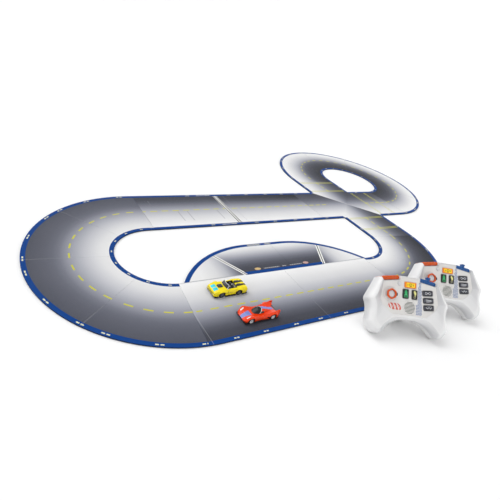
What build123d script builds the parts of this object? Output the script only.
from build123d import *

import os
from math import acos, cos, degrees, radians, sin, sqrt

# Slot car track set: a flat figure-eight of snap-together plates with a pit lane, two small
# motorised cars on the front straight, and two hand controllers standing in front of it.
# Frame: origin under the middle of the crossing, +X right along the back straight, +Y to the
# back, +Z up, millimetres. The floor is z = 0.

# ------------------------------------------------------------------ driving dimensions: track
TRACK_WIDTH = 230.0
CURVE_RADIUS = 254.0                  # centre line of every curve
STRAIGHT = 360.0                      # one straight plate
LAYER = 1.6                           # a plate is two layers of this
TRACK_TOP = 2 * LAYER
LAP = 25.4                            # reach of a plate's lip over the plate before it
SEAM = 0.2                            # gap left on each side of a seam
PEG_RADIUS = 3.0
PEG_GAP = 0.2                         # clearance of a peg in its hole, and under it
PEG_INSET = 18.0                      # outer pegs, from the track's edge

PIT_HALF_FLAT = 68.0                  # straight stretch of the pit lane's back edge
PIT_RADIUS = 340.0
PIT_DEPTH = 150.0
PIT_CENTRE_X = -622.0
PIT_TONGUE = 12.0                     # runs under the front straight
PIT_TONGUE_INSET = 20.0

# ------------------------------------------------------------- driving dimensions: controllers
PAD_TILT = 50.0                       # face against the floor, degrees
PAD_TURN = -24.0                      # about the vertical, degrees
PAD_PLACES = {"near": (-481.0, -750.0), "far": (-270.0, -723.0)}   # between the grip tips
PAD_FRONT = 18.0                      # face shell, in front of the parting plane
PAD_BACK = 24.0                       # rear shell, behind it
PAD_WALL = 3.0
PAD_CEILING = 13.0                    # inside of the face
PANEL_TOP = 15.5                      # recessed panel of the face
FACE_ROUND = 7.0
REAR_ROUND = 9.0
# side of the outline: the arch, then arcs round the grip tip and up the flank to the shoulder
PAD_ARCH = [(0, -41.4), (42, -47), (76, -74)]
PAD_SIDE = [(103, -77), (116.5, -55), (117, -45), (114.5, -26), (119, 2), (118.5, 14), (90, 67)]
PAD_TIP_Y = -81.6
PAD_SHOULDER = 6.0
PAD_TOP = [(31, 76.5), (0, 76.5)]
PANEL_SIDE = [(0, -28.5), (50, -28.5), (58, -24), (81, -5.5), (88, 10), (80, 56), (33, 63),
              (33, 73), (0, 73)]
FIT = 0.3                             # a key or door in its opening

TRIGGER_CENTRE = (56.5, 68.3)
TRIGGER_SLOPE = -8.7                  # degrees, falling outwards
TRIGGER_LENGTH = 51.0
TRIGGER_PIVOT = -1.5                  # up or down from the bar's middle
PIVOT_RADIUS = 1.5
RUNNING = 0.05                        # radial clearance of a pivot in its bore
STUB_SIZE = 10.0
STUB_HEIGHT = 11.5

KEY_TOP = 17.3
KEY_FLANGE = 1.2                      # both its thickness and its reach past the cap
KEY_REST = 0.2                        # below the ceiling at rest
KEY_PLUNGER = 6.8                     # lowest point of the plunger
# name: centre, width, height, corner radius, turn in degrees
KEYS = {
    "power_key": ((-33.8, 54.4), 9.0, 9.0, 4.4, 0),
    "amber_key": ((0.3, 53.6), 35.3, 15.5, 2.5, 0),
    "green_key": ((-13.2, 29.0), 18.0, 25.5, 3.0, 0),
    "black_key": ((13.7, 29.0), 16.8, 25.5, 3.0, 0),
    "side_key_top": ((53.6, 37.4), 31.5, 15.0, 3.5, 5),
    "side_key_middle": ((56.3, 17.8), 31.5, 15.0, 3.5, 5),
    "side_key_bottom": ((58.2, -1.7), 31.5, 15.0, 3.5, 5),
}

STICK_CENTRE = (-60.1, 23.5)
STICK_PIVOT_Z = 5.0
STICK_DOME = 12.0
STICK_HOLE = 9.5
STICK_CAP = 15.0                      # across the corners, as a radius
STICK_CAP_Z = 22.0
STICK_CAP_HEIGHT = 6.0
STICK_SHAFT = 32.0
STICK_EAR = (8.0, 3.0)
STICK_EAR_Y = 14.0

SPEAKER_CENTRE = (0.7, -6.8)
SPEAKER_RADIUS = 17.0
GRILLE_SLOTS = 9
GRILLE_PITCH = 3.6
GRILLE_SLOT = 1.5

BOARD_Z = 3.0
BOARD = 1.6
BOSS_PLACES = [(99, -52), (-99, -52), (99, 22), (-99, 22)]
BOSS_RADIUS = 4.2
SCREW_RADIUS = 1.25
SCREW_HEAD = (2.6, 2.0)               # radius, height

HOUSING_HALF = 37.0                   # battery housing behind the rear shell
HOUSING_Y = (-39.2, 38.0)
HOUSING_Z = -72.0
HOUSING_WALL = 2.6
HOUSING_ROUND = 6.0
BAY_Y = (-31.0, 24.0)
BAY_HALF = 30.5
BAY_FLOOR = -53.5
DOOR_Y = (-34.0, 33.0)
DOOR_HALF = 33.5
DOOR = 2.4
CELL_RADIUS = 7.1
CELL_LENGTH = 49.0
CELL_PITCH = 14.8

# -------------------------------------------------------------------- driving dimensions: cars
WHEEL_RADIUS = 8.0
WHEEL_GAP = 0.15                      # tyre above the print
WHEEL_OUTER = 23.5                    # from the car's middle to the wheel's outer face
FRONT_WHEEL = 6.0                     # width
REAR_WHEEL = 7.0
KINGPIN_Y = 14.5
KINGPIN_RADIUS = 1.0
KINGPIN_EAR = 2.5                     # ends short of the steered wheel's inner face
FRONT_ARCH = 11.3
REAR_ARCH = 10.2
FRONT_NOTCH = 14.6                    # inner ends of the chassis's wheel notches, from the middle
REAR_NOTCH = 15.5
KNUCKLE_RADIUS = 2.2
KNUCKLE_HEIGHT = 7.3
STEERING_ARM = (7.0, 1.6)             # reach, width
BRIDGE_Z = (12.7, 14.3)               # bridge over the kingpins
BRIDGE_WIDTH = 5.0
BRIDGE_POST = (4.0, 3.0)
AXLE_RADIUS = 1.25
AXLE_SHORT = 0.3                      # axle ends short of the wheel's outer face
HUB_RADIUS = 2.2
DISH_RADIUS = 5.2
ARCH_DEPTH = 12.0                     # inner end of the arches, from the car's middle
BODY_HALF = 25.0
BODY_WALL = 1.5
CHASSIS_Z = (3.0, 4.6)
# side outlines (x forward, z up), from the nose's foot over the roof line to the tail
CARS = {
    "yellow_car": {
        "place": (-875.0, -451.0), "wheelbase": 52.5,
        "body": [(49.5, 4.6), (49.5, 12.5), (46, 18), (34, 21), (12, 21.6), (-34, 22), (-53, 21),
                 (-54.2, 15), (-52.5, 4.6)],
        "cabin": [(15, 17.5), (15, 21), (4, 28.6), (-12, 29.2), (-25, 22.2), (-25, 17.5)],
        "cabin_half": 18.0,
    },
    "red_car": {
        "place": (-844.0, -562.0), "wheelbase": 66.0,
        "body": [(50.5, 4.6), (51.5, 8.5), (46, 14), (33, 20.8), (18, 20.2), (-20, 20.6),
                 (-33, 22.2), (-50, 21.5), (-53.5, 16), (-51, 4.6)],
        "cabin": [(20, 17.5), (20, 20), (6, 26.5), (-6, 28), (-30, 22.6), (-30, 17.5)],
        "cabin_half": 13.0,
    },
}
DRIVE_BOX = (31.0, 18.0, 12.0)        # gear case and motor, forward of the rear axle
MOTOR_RADIUS = 5.5
BATTERY_BOX = (18.0, 18.0, 9.0)

LEFT_X = -(CURVE_RADIUS + 2 * STRAIGHT)
FRONT_Y = -2 * CURVE_RADIUS
HALF = TRACK_WIDTH / 2

# legs of the course in driving order: how each starts, its length and the leg before it
LEGS = {
    "front": {"line": ((LEFT_X, FRONT_Y), 0), "length": 2 * STRAIGHT, "before": "left"},
    "right": {"arc": ((-CURVE_RADIUS, -CURVE_RADIUS), -90, 90), "before": "front"},
    "north": {"line": ((0, -CURVE_RADIUS), 90), "length": 2 * CURVE_RADIUS, "before": "right"},
    "loop": {"arc": ((CURVE_RADIUS, CURVE_RADIUS), 180, -270), "before": "north"},
    "west": {"line": ((CURVE_RADIUS, 0), 180), "length": 2 * CURVE_RADIUS, "before": "loop"},
    "back": {"line": ((-CURVE_RADIUS, 0), 180), "length": 2 * STRAIGHT, "before": "west"},
    "left": {"arc": ((LEFT_X, -CURVE_RADIUS), 90, 180), "before": "back"},
}
for leg in LEGS.values():
    if "arc" in leg:
        leg["length"] = CURVE_RADIUS * radians(abs(leg["arc"][2]))

os.makedirs("parts", exist_ok=True)


def write(name, *solids):
    """Labels a node and writes its STEP; several solids stay separate inside it."""
    node = solids[0] if len(solids) == 1 else Compound(children=list(solids))
    node.label = name
    export_step(node, f"parts/{name}.step")


# ------------------------------------------------------------------------------------- track
def on_course(name, along, across):
    """The point on a leg at a distance along it, and across it to the left."""
    leg = LEGS[name]
    if along < 0:
        before = LEGS[leg["before"]]
        return on_course(leg["before"], before["length"] + along, across)
    if "line" in leg:
        (x, y), heading = leg["line"]
        c, s = cos(radians(heading)), sin(radians(heading))
        return x + along * c - across * s, y + along * s + across * c
    (x, y), start, sweep = leg["arc"]
    turn = 1 if sweep > 0 else -1
    angle = radians(start + turn * degrees(along / CURVE_RADIUS))
    radius = CURVE_RADIUS - turn * across
    return x + radius * cos(angle), y + radius * sin(angle)


def stretch(name, begin, end):
    """The flat area of the track between two distances along a leg."""
    leg = LEGS[name]
    with BuildSketch() as area:
        if begin < 0:
            before = LEGS[leg["before"]]
            add(stretch(leg["before"], before["length"] + begin, before["length"]))
        first = max(begin, 0)
        if "line" in leg:
            corners = [on_course(name, s, side) for s, side in
                       ((first, HALF), (first, -HALF), (end, -HALF), (end, HALF))]
            with BuildLine():
                Polyline(*corners, close=True)
            make_face()
        else:
            centre, start, sweep = leg["arc"]
            turn = 1 if sweep > 0 else -1
            from_angle = start + turn * degrees(first / CURVE_RADIUS)
            size = turn * degrees((end - first) / CURVE_RADIUS)
            with BuildLine():
                outer = CenterArc(centre, CURVE_RADIUS + HALF, from_angle, size)
                inner = CenterArc(centre, CURVE_RADIUS - HALF, from_angle, size)
                Line(outer @ 0, inner @ 0)
                Line(outer @ 1, inner @ 1)
            make_face()
    return area.sketch


def plate(legs, begin, end, cut=None):
    """One plate over each named leg: the lower layer ends in a tongue with peg holes, the upper
    one starts in a lip with pegs. cut is an area that the lower layer leaves free."""
    across = (HALF - PEG_INSET, 0, -(HALF - PEG_INSET))
    holes = [on_course(leg, end - LAP / 2, side) for leg in legs for side in across]
    pegs = [on_course(leg, begin - LAP / 2, side) for leg in legs for side in across]
    with BuildPart() as body:
        with BuildSketch():
            for leg in legs:
                add(stretch(leg, begin + SEAM, end - SEAM))
            with Locations(*holes):
                Circle(PEG_RADIUS + PEG_GAP, mode=Mode.SUBTRACT)
            if cut:
                add(cut, mode=Mode.SUBTRACT)
        extrude(amount=LAYER)
        with BuildSketch(Plane.XY.offset(LAYER)):
            for leg in legs:
                add(stretch(leg, begin - LAP + SEAM, end - LAP - SEAM))
        extrude(amount=LAYER)
        with BuildSketch(Plane.XY.offset(PEG_GAP)):
            with Locations(*pegs):
                Circle(PEG_RADIUS)
        extrude(amount=LAYER - PEG_GAP)
    return body.part


def plates(leg, first, last, count, cut=None):
    """Plates first to last of the count that a leg is divided into."""
    size = LEGS[leg]["length"] / count
    return [plate([leg], i * size, (i + 1) * size, cut) for i in range(first, last)]


# the pit lane: two plates that meet in a lap, with a tongue under the front straight
PIT_BASE_Y = FRONT_Y + HALF
PIT_SIDE = PIT_HALF_FLAT + sqrt(PIT_RADIUS ** 2 - (PIT_RADIUS - PIT_DEPTH) ** 2)
PIT_SWEEP = degrees(acos((PIT_RADIUS - PIT_DEPTH) / PIT_RADIUS))

with BuildSketch() as pit_area:
    with BuildLine():
        left_arc = CenterArc((PIT_CENTRE_X - PIT_HALF_FLAT, PIT_BASE_Y + PIT_DEPTH - PIT_RADIUS),
                             PIT_RADIUS, 90, PIT_SWEEP)
        right_arc = CenterArc((PIT_CENTRE_X + PIT_HALF_FLAT, PIT_BASE_Y + PIT_DEPTH - PIT_RADIUS),
                              PIT_RADIUS, 90, -PIT_SWEEP)
        Line(left_arc @ 0, right_arc @ 0)
        Line(left_arc @ 1, right_arc @ 1)
    make_face()
    with Locations((PIT_CENTRE_X, PIT_BASE_Y)):
        Rectangle(2 * PIT_SIDE + LAP, 2 * SEAM, mode=Mode.SUBTRACT)

with BuildSketch() as pit_tongue:
    with Locations((PIT_CENTRE_X, PIT_BASE_Y)):
        Rectangle(2 * (PIT_SIDE - PIT_TONGUE_INSET), 2 * PIT_TONGUE)

with BuildSketch() as pit_socket:
    add(pit_tongue.sketch)
    offset(amount=SEAM, kind=Kind.INTERSECTION)


def pit_plate(side, lower_end, upper_end):
    """The half of the pit lane on one side (-1 left, 1 right) of where each layer ends."""
    with BuildPart() as body:
        with BuildSketch():
            add(pit_area.sketch)
            add(pit_tongue.sketch)
            with Locations((lower_end, PIT_BASE_Y)):
                Rectangle(2 * PIT_SIDE + LAP, 3 * PIT_DEPTH, mode=Mode.SUBTRACT,
                          align=(Align.MAX if side > 0 else Align.MIN, Align.CENTER))
        extrude(amount=LAYER)
        with BuildSketch(Plane.XY.offset(LAYER)):
            add(pit_area.sketch)
            with Locations((upper_end, PIT_BASE_Y)):
                Rectangle(2 * PIT_SIDE + 2 * LAP, 3 * PIT_DEPTH, mode=Mode.SUBTRACT,
                          align=(Align.MAX if side > 0 else Align.MIN, Align.CENTER))
        extrude(amount=LAYER)
    return body.part


write("crossing_plate", plate(["north", "west"], 0, 2 * CURVE_RADIUS))
write("front_straight_plates", *plates("front", 0, 2, 2, cut=pit_socket.sketch))
write("back_straight_plates", *plates("back", 0, 2, 2))
write("left_curve_plates", *plates("left", 0, 4, 4))
write("right_curve_plates", *plates("right", 0, 2, 2))
write("loop_entry_plates", *plates("loop", 0, 3, 6))
write("loop_exit_plates", *plates("loop", 3, 6, 6))
write("pit_lane_plates",
      pit_plate(-1, PIT_CENTRE_X - SEAM, PIT_CENTRE_X + LAP - SEAM),
      pit_plate(1, PIT_CENTRE_X + SEAM, PIT_CENTRE_X + LAP + SEAM))


# ------------------------------------------------------------------- controller, local frame
# +X across the face, +Y up the face, +Z out of it; the two shells part at z = 0.
with BuildSketch() as pad_outline:
    with BuildLine():
        flank = ThreePointArc(*PAD_ARCH)
        for corner in PAD_SIDE:
            flank = TangentArc(flank @ 1, corner, tangent=flank % 1)
        Polyline(flank @ 1, *PAD_TOP)
        mirror(about=Plane.YZ)
    make_face()
    shoulders = [v for v in pad_outline.vertices() if abs(abs(v.X) - PAD_SIDE[-1][0]) < 1]
    fillet(shoulders, radius=PAD_SHOULDER)
print("controller outline", pad_outline.sketch.bounding_box())

with BuildSketch() as pad_inside:
    add(pad_outline.sketch)
    offset(amount=-PAD_WALL)

with BuildSketch() as panel:
    with BuildLine():
        Polyline(*PANEL_SIDE)
        mirror(about=Plane.YZ)
    make_face()


def pad_block(height, rounding):
    """The controller's outline, with its far edge rounded over."""
    with BuildPart() as block:
        with BuildSketch():
            add(pad_outline.sketch)
        extrude(amount=height)
        fillet(block.faces().sort_by(Axis.Z)[-1].edges(), radius=rounding)
    return block.part


slope = radians(TRIGGER_SLOPE)
BAR = Vector(cos(slope), sin(slope), 0)      # along the right trigger, outwards
# local x of this plane is depth behind the face, local y is up the face
BAR_PLANE = Plane(origin=(*TRIGGER_CENTRE, 0), x_dir=(0, 0, -1), z_dir=BAR)


def bar_prism(outline, half_length):
    """An outline (depth, up) drawn across the right trigger's bar, made into a prism."""
    with BuildPart() as prism:
        with BuildSketch(BAR_PLANE):
            with BuildLine():
                Polyline(*outline, close=True)
            make_face()
        extrude(amount=half_length, both=True)
    return prism.part


def bar_pivot(radius, half_length):
    """The pivot along the right trigger's bar."""
    with BuildPart() as pivot:
        with BuildSketch(BAR_PLANE):
            with Locations((0, TRIGGER_PIVOT)):
                Circle(radius)
        extrude(amount=half_length, both=True)
    return pivot.part


NOTCH_HALF = TRIGGER_LENGTH / 2 + 0.5
NOTCH_WALL = 2.8
with BuildPart() as notches:
    add(bar_prism([(-30, -6.5), (-14, -6.5), (40, -13.4), (40, 30), (-30, 30)], NOTCH_HALF))
    mirror(about=Plane.YZ)

with BuildPart() as pockets:
    add(bar_prism([(-30, -9.4), (-14, -9.4), (40, -16.3), (40, 30), (-30, 30)],
                  NOTCH_HALF + NOTCH_WALL))
    mirror(about=Plane.YZ)

with BuildPart() as pivot_bores:
    add(bar_pivot(PIVOT_RADIUS + RUNNING, NOTCH_HALF + 2.3))
    mirror(about=Plane.YZ)

with BuildPart() as pad_cavity:
    with BuildSketch(Plane.XY.offset(-(PAD_BACK - PAD_WALL))):
        add(pad_inside.sketch)
    extrude(amount=PAD_BACK - PAD_WALL + PAD_CEILING)
    add(pockets.part, mode=Mode.SUBTRACT)

with BuildPart() as face_shell:
    add(pad_block(PAD_FRONT, FACE_ROUND))
    add(pad_cavity.part, mode=Mode.SUBTRACT)
    add(notches.part, mode=Mode.SUBTRACT)
    add(pivot_bores.part, mode=Mode.SUBTRACT)
    with BuildSketch(Plane.XY.offset(PANEL_TOP)):
        add(panel.sketch)
    extrude(amount=PAD_FRONT, mode=Mode.SUBTRACT)
    for centre, width, height, corner, turn in KEYS.values():
        with BuildSketch(Plane.XY.offset(PAD_CEILING - 1)):
            with Locations(Location((*centre, 0), (0, 0, turn))):
                RectangleRounded(width + 2 * FIT, height + 2 * FIT, corner + FIT)
        extrude(amount=PAD_FRONT, mode=Mode.SUBTRACT)
    with BuildSketch(Plane.XY.offset(PAD_CEILING - 1)):
        with Locations(STICK_CENTRE):
            Circle(STICK_HOLE)
    extrude(amount=PAD_FRONT, mode=Mode.SUBTRACT)
    for row in range(GRILLE_SLOTS):
        rise = (row - (GRILLE_SLOTS - 1) / 2) * GRILLE_PITCH
        with BuildSketch(Plane.XY.offset(PAD_CEILING - 1)):
            with Locations((SPEAKER_CENTRE[0], SPEAKER_CENTRE[1] + rise)):
                SlotOverall(2 * sqrt(SPEAKER_RADIUS ** 2 - rise ** 2), GRILLE_SLOT)
        extrude(amount=PAD_FRONT, mode=Mode.SUBTRACT)
    # ears that carry the stick's shaft
    for side in (-1, 1):
        with BuildSketch(Plane.XY.offset(STICK_PIVOT_Z - 3.5)):
            with Locations((STICK_CENTRE[0], STICK_CENTRE[1] + side * STICK_EAR_Y)):
                Rectangle(*STICK_EAR)
        extrude(amount=PAD_CEILING - STICK_PIVOT_Z + 4)
    with BuildSketch(Plane.XZ.offset(-STICK_CENTRE[1])):
        with Locations((STICK_CENTRE[0], STICK_PIVOT_Z)):
            Circle(PIVOT_RADIUS + RUNNING)
    extrude(amount=STICK_EAR_Y + STICK_EAR[1], both=True, mode=Mode.SUBTRACT)
    with BuildSketch():
        with Locations(*BOSS_PLACES):
            Circle(BOSS_RADIUS)
    extrude(amount=PAD_CEILING + 0.5)
    with BuildSketch():
        with Locations(*BOSS_PLACES):
            Circle(SCREW_RADIUS + RUNNING)
    extrude(amount=10, mode=Mode.SUBTRACT)

with BuildPart() as housing_shape:
    with BuildSketch(Plane.XY.offset(HOUSING_Z)):
        with Locations((0, (HOUSING_Y[0] + HOUSING_Y[1]) / 2)):
            RectangleRounded(2 * HOUSING_HALF, HOUSING_Y[1] - HOUSING_Y[0], HOUSING_ROUND)
    extrude(amount=-HOUSING_Z - PAD_BACK + PAD_WALL)
    fillet(housing_shape.faces().sort_by(Axis.Z)[0].edges(), radius=HOUSING_ROUND - 1)

with BuildPart() as rear_shell:
    add(mirror(pad_block(PAD_BACK, REAR_ROUND), about=Plane.XY, mode=Mode.PRIVATE))
    add(housing_shape.part)
    add(pad_cavity.part, mode=Mode.SUBTRACT)
    with BuildSketch(Plane.XY.offset(BAY_FLOOR + HOUSING_WALL)):
        with Locations((0, (HOUSING_Y[0] + HOUSING_Y[1]) / 2)):
            RectangleRounded(2 * (HOUSING_HALF - HOUSING_WALL),
                             HOUSING_Y[1] - HOUSING_Y[0] - 2 * HOUSING_WALL, HOUSING_ROUND - 2)
    extrude(amount=-BAY_FLOOR - HOUSING_WALL - PAD_BACK + PAD_WALL + 1, mode=Mode.SUBTRACT)
    with BuildSketch(Plane.XY.offset(BAY_FLOOR)):
        with Locations((0, (BAY_Y[0] + BAY_Y[1]) / 2)):
            Rectangle(2 * BAY_HALF, BAY_Y[1] - BAY_Y[0])
    extrude(amount=HOUSING_Z - BAY_FLOOR - 1, mode=Mode.SUBTRACT)
    with BuildSketch(Plane.XY.offset(HOUSING_Z + DOOR)):
        with Locations((0, (DOOR_Y[0] + DOOR_Y[1]) / 2)):
            Rectangle(2 * DOOR_HALF, DOOR_Y[1] - DOOR_Y[0])
    extrude(amount=-DOOR - 1, mode=Mode.SUBTRACT)
    add(notches.part, mode=Mode.SUBTRACT)
    add(pivot_bores.part, mode=Mode.SUBTRACT)
    with BuildSketch():
        with Locations(*BOSS_PLACES):
            Circle(BOSS_RADIUS)
    extrude(amount=-(PAD_BACK - PAD_WALL + 0.5))
    with BuildSketch():
        with Locations(*BOSS_PLACES):
            Circle(SCREW_RADIUS + 0.2)
    extrude(amount=-PAD_BACK, mode=Mode.SUBTRACT)
    with BuildSketch(Plane.XY.offset(-PAD_BACK)):
        with Locations(*BOSS_PLACES):
            Circle(SCREW_HEAD[0] + 0.3)
    extrude(amount=8, mode=Mode.SUBTRACT)
    with BuildSketch(Plane.XY.offset(HOUSING_Z)):
        with Locations((0, DOOR_Y[1] - 4.5)):
            Circle(SCREW_RADIUS + RUNNING)
    extrude(amount=12, mode=Mode.SUBTRACT)

with BuildPart() as battery_door:
    with BuildSketch(Plane.XY.offset(HOUSING_Z)):
        with Locations((0, (DOOR_Y[0] + DOOR_Y[1]) / 2)):
            RectangleRounded(2 * DOOR_HALF - 2 * FIT, DOOR_Y[1] - DOOR_Y[0] - 2 * FIT, 2)
        with Locations((0, DOOR_Y[1] - 4.5)):
            Circle(SCREW_RADIUS + 0.2, mode=Mode.SUBTRACT)
    extrude(amount=DOOR)
    # finger ribs
    for rib in range(5):
        with BuildSketch(Plane.XY.offset(HOUSING_Z)):
            with Locations((0, DOOR_Y[0] + 8 + 3 * rib)):
                Rectangle(36, 1.2)
        extrude(amount=0.8, mode=Mode.SUBTRACT)

with BuildPart() as cell:
    with BuildSketch(Plane.XZ.offset(-(BAY_Y[0] + 2.5))):
        Circle(CELL_RADIUS)
    extrude(amount=-CELL_LENGTH)
    with BuildSketch(Plane.XZ.offset(-(BAY_Y[0] + 2.5 + CELL_LENGTH))):
        Circle(2.7)
    extrude(amount=-1.2)

CELL_Z = BAY_FLOOR - CELL_RADIUS - 0.6
cells = [Pos((i - 1.5) * CELL_PITCH, 0, CELL_Z) * cell.part for i in range(4)]


def screw(x, y, head_z, shank):
    """A self-tapping screw with its head towards the back."""
    with BuildPart() as body:
        with BuildSketch(Plane.XY.offset(head_z)):
            with Locations((x, y)):
                Circle(SCREW_HEAD[0])
        extrude(amount=SCREW_HEAD[1])
        with BuildSketch(Plane.XY.offset(head_z + SCREW_HEAD[1])):
            with Locations((x, y)):
                Circle(SCREW_RADIUS)
        extrude(amount=shank)
        with BuildSketch(Plane.XY.offset(head_z)):
            with Locations((x, y)):
                Rectangle(3.2, 0.7)
                Rectangle(0.7, 3.2)
        extrude(amount=1.0, mode=Mode.SUBTRACT)
    return body.part


screws = [screw(x, y, 8 - PAD_BACK - SCREW_HEAD[1], 24) for x, y in BOSS_PLACES]
screws.append(screw(0, DOOR_Y[1] - 4.5, HOUSING_Z - SCREW_HEAD[1], 10))

with BuildPart() as control_board:
    with BuildSketch(Plane.XY.offset(BOARD_Z)):
        with Locations((0, 13)):
            RectangleRounded(160, 70, 4)
        with Locations((-7.5, 52)):
            RectangleRounded(69, 14, 2)
        with Locations(STICK_CENTRE):
            Circle(19, mode=Mode.SUBTRACT)
    extrude(amount=BOARD)
    # a dome switch under each key, and the speaker behind its grille
    with BuildSketch(Plane.XY.offset(BOARD_Z + BOARD)):
        with Locations(*[centre for centre, *_ in KEYS.values()]):
            Circle(3)
    extrude(amount=0.6)
    with BuildSketch(Plane.XY.offset(BOARD_Z + BOARD)):
        with Locations(SPEAKER_CENTRE):
            Circle(13)
    extrude(amount=6)


def key(centre, width, height, corner, turn):
    """A key: cap, retaining flange under the face, and plunger."""
    flange_top = PAD_CEILING - KEY_REST
    place = Location((*centre, 0), (0, 0, turn))
    with BuildPart() as body:
        with BuildSketch(Plane.XY.offset(flange_top - KEY_FLANGE)):
            with Locations(place):
                RectangleRounded(width + 2 * KEY_FLANGE, height + 2 * KEY_FLANGE, corner)
        extrude(amount=KEY_FLANGE)
        with BuildSketch(Plane.XY.offset(flange_top)):
            with Locations(place):
                RectangleRounded(width, height, corner)
        extrude(amount=KEY_TOP - flange_top)
        fillet(body.faces().sort_by(Axis.Z)[-1].edges(), radius=1.0)
        with BuildSketch(Plane.XY.offset(KEY_PLUNGER)):
            with Locations(place):
                Circle(2)
        extrude(amount=flange_top - KEY_FLANGE - KEY_PLUNGER)
    return body.part


with BuildPart() as stick:
    with BuildSketch(Plane.XZ.offset(-STICK_CENTRE[1])):
        with Locations((STICK_CENTRE[0], STICK_PIVOT_Z)):
            Circle(PIVOT_RADIUS)
    extrude(amount=STICK_SHAFT / 2, both=True)
    with BuildSketch(Plane.XY.offset(STICK_PIVOT_Z - 1.5)):
        with Locations(STICK_CENTRE):
            Circle(4)
    extrude(amount=STICK_CAP_Z - STICK_PIVOT_Z + 2)
    with Locations((*STICK_CENTRE, STICK_PIVOT_Z)):
        Sphere(STICK_DOME, arc_size1=20)
    with BuildSketch(Plane.XY.offset(STICK_CAP_Z)):
        with Locations(STICK_CENTRE):
            RegularPolygon(STICK_CAP, 6, rotation=30)
    extrude(amount=STICK_CAP_HEIGHT)
    fillet(stick.faces().sort_by(Axis.Z)[-1].edges(), radius=1.6)
    with BuildSketch(Plane.XY.offset(STICK_CAP_Z + STICK_CAP_HEIGHT - 2)):
        with Locations(STICK_CENTRE):
            RegularPolygon(STICK_CAP - 5.5, 6, rotation=30)
    extrude(amount=3, mode=Mode.SUBTRACT)


TRIGGER_SECTION = [(-11, -5.2), (-11, 2.4), (-7.5, 5.2), (21, 5.2), (28, 2), (30, -5.2)]


def trigger(stub):
    """The right-hand trigger with its pivot, and with or without the stub on top."""
    with BuildPart() as body:
        add(bar_prism(TRIGGER_SECTION, TRIGGER_LENGTH / 2))
        fillet(body.edges().filter_by(Axis((0, 0, 0), BAR)), radius=1.2)
        if stub:
            with BuildSketch(Plane(origin=(*TRIGGER_CENTRE, 0), x_dir=BAR, z_dir=(0, 0, 1))):
                with Locations((6, 4)):
                    Rectangle(STUB_SIZE, STUB_HEIGHT, align=(Align.CENTER, Align.MIN))
            extrude(amount=STUB_SIZE / 2, both=True)
        add(bar_pivot(PIVOT_RADIUS, NOTCH_HALF + 2))
    return body.part


with BuildPart() as throttle_trigger:
    add(trigger(stub=True))

with BuildPart() as brake_trigger:
    add(mirror(trigger(stub=False), about=Plane.YZ, mode=Mode.PRIVATE))

PAD_PIECES = {
    "face_shell": [face_shell.part],
    "rear_shell": [rear_shell.part],
    "battery_door": [battery_door.part],
    "battery_cells": cells,
    "control_board": [control_board.part],
    "screws": screws,
    "stick": [stick.part],
    "brake_trigger": [brake_trigger.part],
    "throttle_trigger": [throttle_trigger.part],
}
for name, (centre, width, height, corner, turn) in KEYS.items():
    PAD_PIECES[name] = [key(centre, width, height, corner, turn)]

# the lowest point of the tilted rear shell, below its local origin
tilted = Rotation(PAD_TILT, 0, 0) * rear_shell.part
PAD_RISE = -tilted.bounding_box().min.Z
turned = radians(PAD_TURN)
across = Vector(cos(turned), sin(turned), 0)
up_face = Vector(-sin(turned) * cos(radians(PAD_TILT)), cos(turned) * cos(radians(PAD_TILT)),
                 sin(radians(PAD_TILT)))
print("controller origin above the floor", round(PAD_RISE, 3))

for unit, (x, y) in PAD_PLACES.items():
    ahead = -PAD_TIP_Y * cos(radians(PAD_TILT))
    spot = Vector(x, y, PAD_RISE) + Vector(-sin(turned), cos(turned), 0) * ahead
    stand = Location(Plane(origin=spot, x_dir=across, z_dir=across.cross(up_face)))
    print(unit, "controller origin", spot)
    for name, solids in PAD_PIECES.items():
        write(f"{unit}_pad_{name}", *[solid.moved(stand) for solid in solids])


# -------------------------------------------------------------------------- car, local frame
# +X forward, +Y to the left, +Z up; the origin is on the print, midway between the axles.
def side_prism(outline, half_width):
    """A side outline (x, z) drawn across the car."""
    with BuildPart() as prism:
        with BuildSketch(Plane.XZ):
            with BuildLine():
                Polyline(*outline, close=True)
            make_face()
        extrude(amount=half_width, both=True)
    return prism.part


def across_car(x, z, radius, half_width):
    """A round bar across the car."""
    with BuildPart() as bar:
        with BuildSketch(Plane.XZ):
            with Locations((x, z)):
                Circle(radius)
        extrude(amount=half_width, both=True)
    return bar.part


def arches(x, radius):
    """The two wheel arches over an axle, open to the side."""
    with BuildPart() as cut:
        add(across_car(x, WHEEL_RADIUS, radius, BODY_HALF + 1))
        add(across_car(x, WHEEL_RADIUS, radius + 1, ARCH_DEPTH), mode=Mode.SUBTRACT)
    return cut.part


def wheel(x, side, width, bore):
    """A wheel with a dished rim, on one side of the car (1 left, -1 right)."""
    face = Plane(origin=(x, side * WHEEL_OUTER, WHEEL_RADIUS), x_dir=(1, 0, 0), z_dir=(0, side, 0))
    with BuildPart() as body:
        with BuildSketch(face):
            Circle(WHEEL_RADIUS)
        extrude(amount=-width)
        fillet(body.edges().filter_by(GeomType.CIRCLE), radius=0.8)
        with BuildSketch(face):
            Circle(DISH_RADIUS)
            Circle(HUB_RADIUS, mode=Mode.SUBTRACT)
        extrude(amount=-1.2, mode=Mode.SUBTRACT)
        with BuildSketch(face):
            Circle(bore)
        extrude(amount=-width, mode=Mode.SUBTRACT)
    return body.part


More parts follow.
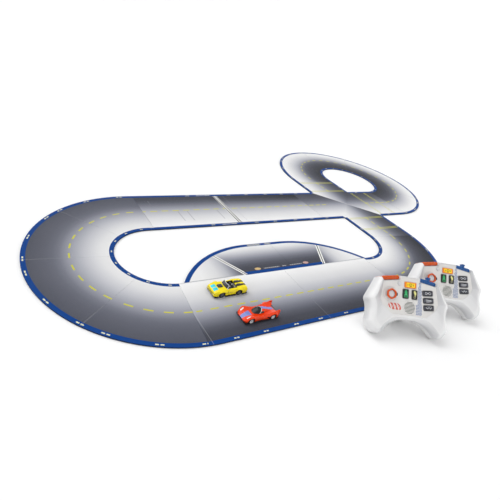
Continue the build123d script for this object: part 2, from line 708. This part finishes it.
def knuckle(x, side):
    """A steering knuckle: kingpin, block, steering arm and stub axle."""
    with BuildPart() as body:
        with BuildSketch(Plane.XY.offset(CHASSIS_Z[1] + 0.4)):
            with Locations((x, side * KINGPIN_Y)):
                Circle(KNUCKLE_RADIUS)
        extrude(amount=KNUCKLE_HEIGHT)
        with BuildSketch(Plane.XY.offset(CHASSIS_Z[1] + 0.4)):
            with Locations((x - STEERING_ARM[0] / 2, side * (KINGPIN_Y - 0.5))):
                Rectangle(*STEERING_ARM)
        extrude(amount=1.6)
        with BuildSketch(Plane.XY.offset(CHASSIS_Z[0] + 0.1)):
            with Locations((x, side * KINGPIN_Y)):
                Circle(KINGPIN_RADIUS)
        extrude(amount=11)
        with BuildSketch(Plane(origin=(x, side * KINGPIN_Y, WHEEL_RADIUS), x_dir=(1, 0, 0),
                               z_dir=(0, side, 0))):
            Circle(KINGPIN_RADIUS)
        extrude(amount=WHEEL_OUTER - KINGPIN_Y - AXLE_SHORT)
    return body.part


def car_pieces(wheelbase, body, cabin, cabin_half):
    """Every solid of one car, by piece, in its local frame."""
    front, rear = wheelbase / 2, -wheelbase / 2
    nose, tail = max(x for x, z in body), min(x for x, z in body)
    floor, deck = CHASSIS_Z

    with BuildPart() as body_shell:
        add(side_prism(body, BODY_HALF))
        fillet(body_shell.edges().filter_by(Axis.Y).filter_by_position(Axis.Z, 6, 40), radius=2)
        fillet(body_shell.faces().sort_by(Axis.Y)[0].edges().filter_by_position(Axis.Z, 6, 40)
               + body_shell.faces().sort_by(Axis.Y)[-1].edges().filter_by_position(Axis.Z, 6, 40),
               radius=2.5)
        inside = [(x + (BODY_WALL if x < 0 else -BODY_WALL), z - (BODY_WALL if z > 5 else 1))
                  for x, z in body]
        add(side_prism(inside, BODY_HALF - BODY_WALL), mode=Mode.SUBTRACT)
        add(arches(front, FRONT_ARCH), mode=Mode.SUBTRACT)
        add(arches(rear, REAR_ARCH), mode=Mode.SUBTRACT)
        opening = [(x + (0.15 if x > 0 else -0.15), z if z > 18 else 0) for x, z in cabin]
        add(side_prism(opening, cabin_half + 0.15), mode=Mode.SUBTRACT)

    with BuildPart() as canopy:
        add(side_prism(cabin, cabin_half))
        fillet(canopy.edges().filter_by_position(Axis.Z, 22.5, 40), radius=1.5)
        hollow = [(x * 0.88 - 0.4, z - 1.4) for x, z in cabin]
        add(side_prism(hollow, cabin_half - 1.4), mode=Mode.SUBTRACT)

    with BuildPart() as chassis:
        with BuildSketch(Plane.XY.offset(floor)):
            with Locations(((nose + tail) / 2, 0)):
                RectangleRounded(nose - tail - 3, 2 * BODY_HALF - 1, 3)
            for x, arch, notch in ((front, FRONT_ARCH, FRONT_NOTCH), (rear, REAR_ARCH, REAR_NOTCH)):
                with Locations((x, notch + BODY_HALF / 2), (x, -notch - BODY_HALF / 2)):
                    Rectangle(2 * arch, BODY_HALF, mode=Mode.SUBTRACT)
            with Locations((front, KINGPIN_Y), (front, -KINGPIN_Y)):
                Circle(KINGPIN_EAR)
                Circle(KINGPIN_RADIUS + RUNNING, mode=Mode.SUBTRACT)
        extrude(amount=deck - floor)
        # bridge over the two kingpins, on two posts
        with BuildSketch(Plane.XY.offset(BRIDGE_Z[0])):
            with Locations((front, 0)):
                SlotOverall(2 * KINGPIN_Y + BRIDGE_WIDTH, BRIDGE_WIDTH, rotation=90)
            with Locations((front, KINGPIN_Y), (front, -KINGPIN_Y)):
                Circle(KINGPIN_RADIUS + RUNNING, mode=Mode.SUBTRACT)
        extrude(amount=BRIDGE_Z[1] - BRIDGE_Z[0])
        with BuildSketch(Plane.XY.offset(deck)):
            with Locations((front, WHEEL_RADIUS), (front, -WHEEL_RADIUS)):
                Rectangle(*BRIDGE_POST)
        extrude(amount=BRIDGE_Z[0] - deck)

    with BuildPart() as drive_unit:
        with BuildSketch(Plane.XY.offset(deck)):
            with Locations((rear - 6, 0)):
                Rectangle(18, DRIVE_BOX[1], align=(Align.MIN, Align.CENTER))
        extrude(amount=DRIVE_BOX[2])
        with BuildSketch(Plane.YZ.offset(rear + 12)):
            with Locations((0, deck + MOTOR_RADIUS + 0.2)):
                Circle(MOTOR_RADIUS)
        extrude(amount=DRIVE_BOX[0] - 18)
        add(across_car(rear, WHEEL_RADIUS, AXLE_RADIUS + RUNNING, BODY_HALF), mode=Mode.SUBTRACT)

    battery_x = rear - 6 + DRIVE_BOX[0] + 1
    battery_length = min(BATTERY_BOX[0], front - 6 - battery_x)
    with BuildPart() as battery:
        with BuildSketch(Plane.XY.offset(deck)):
            with Locations((battery_x, 0)):
                Rectangle(battery_length, BATTERY_BOX[1], align=(Align.MIN, Align.CENTER))
        extrude(amount=BATTERY_BOX[2])
        fillet(battery.edges().filter_by(Axis.X), radius=1.5)
    with BuildPart() as board:
        with BuildSketch(Plane.XY.offset(deck + BATTERY_BOX[2])):
            with Locations((battery_x, 0)):
                Rectangle(battery_length + 1, BATTERY_BOX[1] + 2, align=(Align.MIN, Align.CENTER))
        extrude(amount=1)

    rear_wheels = [wheel(rear, side, REAR_WHEEL, AXLE_RADIUS) for side in (1, -1)]
    axle = across_car(rear, WHEEL_RADIUS, AXLE_RADIUS, WHEEL_OUTER - AXLE_SHORT)
    return {
        "body_shell": [body_shell.part],
        "canopy": [canopy.part],
        "chassis": [chassis.part],
        "drive_unit": [drive_unit.part],
        "battery_and_board": [battery.part, board.part],
        "left_knuckle": [knuckle(front, 1)],
        "right_knuckle": [knuckle(front, -1)],
        "left_front_wheel": [wheel(front, 1, FRONT_WHEEL, KINGPIN_RADIUS + RUNNING)],
        "right_front_wheel": [wheel(front, -1, FRONT_WHEEL, KINGPIN_RADIUS + RUNNING)],
        "rear_axle_and_wheels": [axle, *rear_wheels],
    }


for unit, spec in CARS.items():
    # nose towards -X, as the cars race along the front straight
    spot = Location((*spec["place"], TRACK_TOP + WHEEL_GAP), (0, 0, 180))
    pieces = car_pieces(spec["wheelbase"], spec["body"], spec["cabin"], spec["cabin_half"])
    for name, solids in pieces.items():
        write(f"{unit}_{name}", *[solid.moved(spot) for solid in solids])
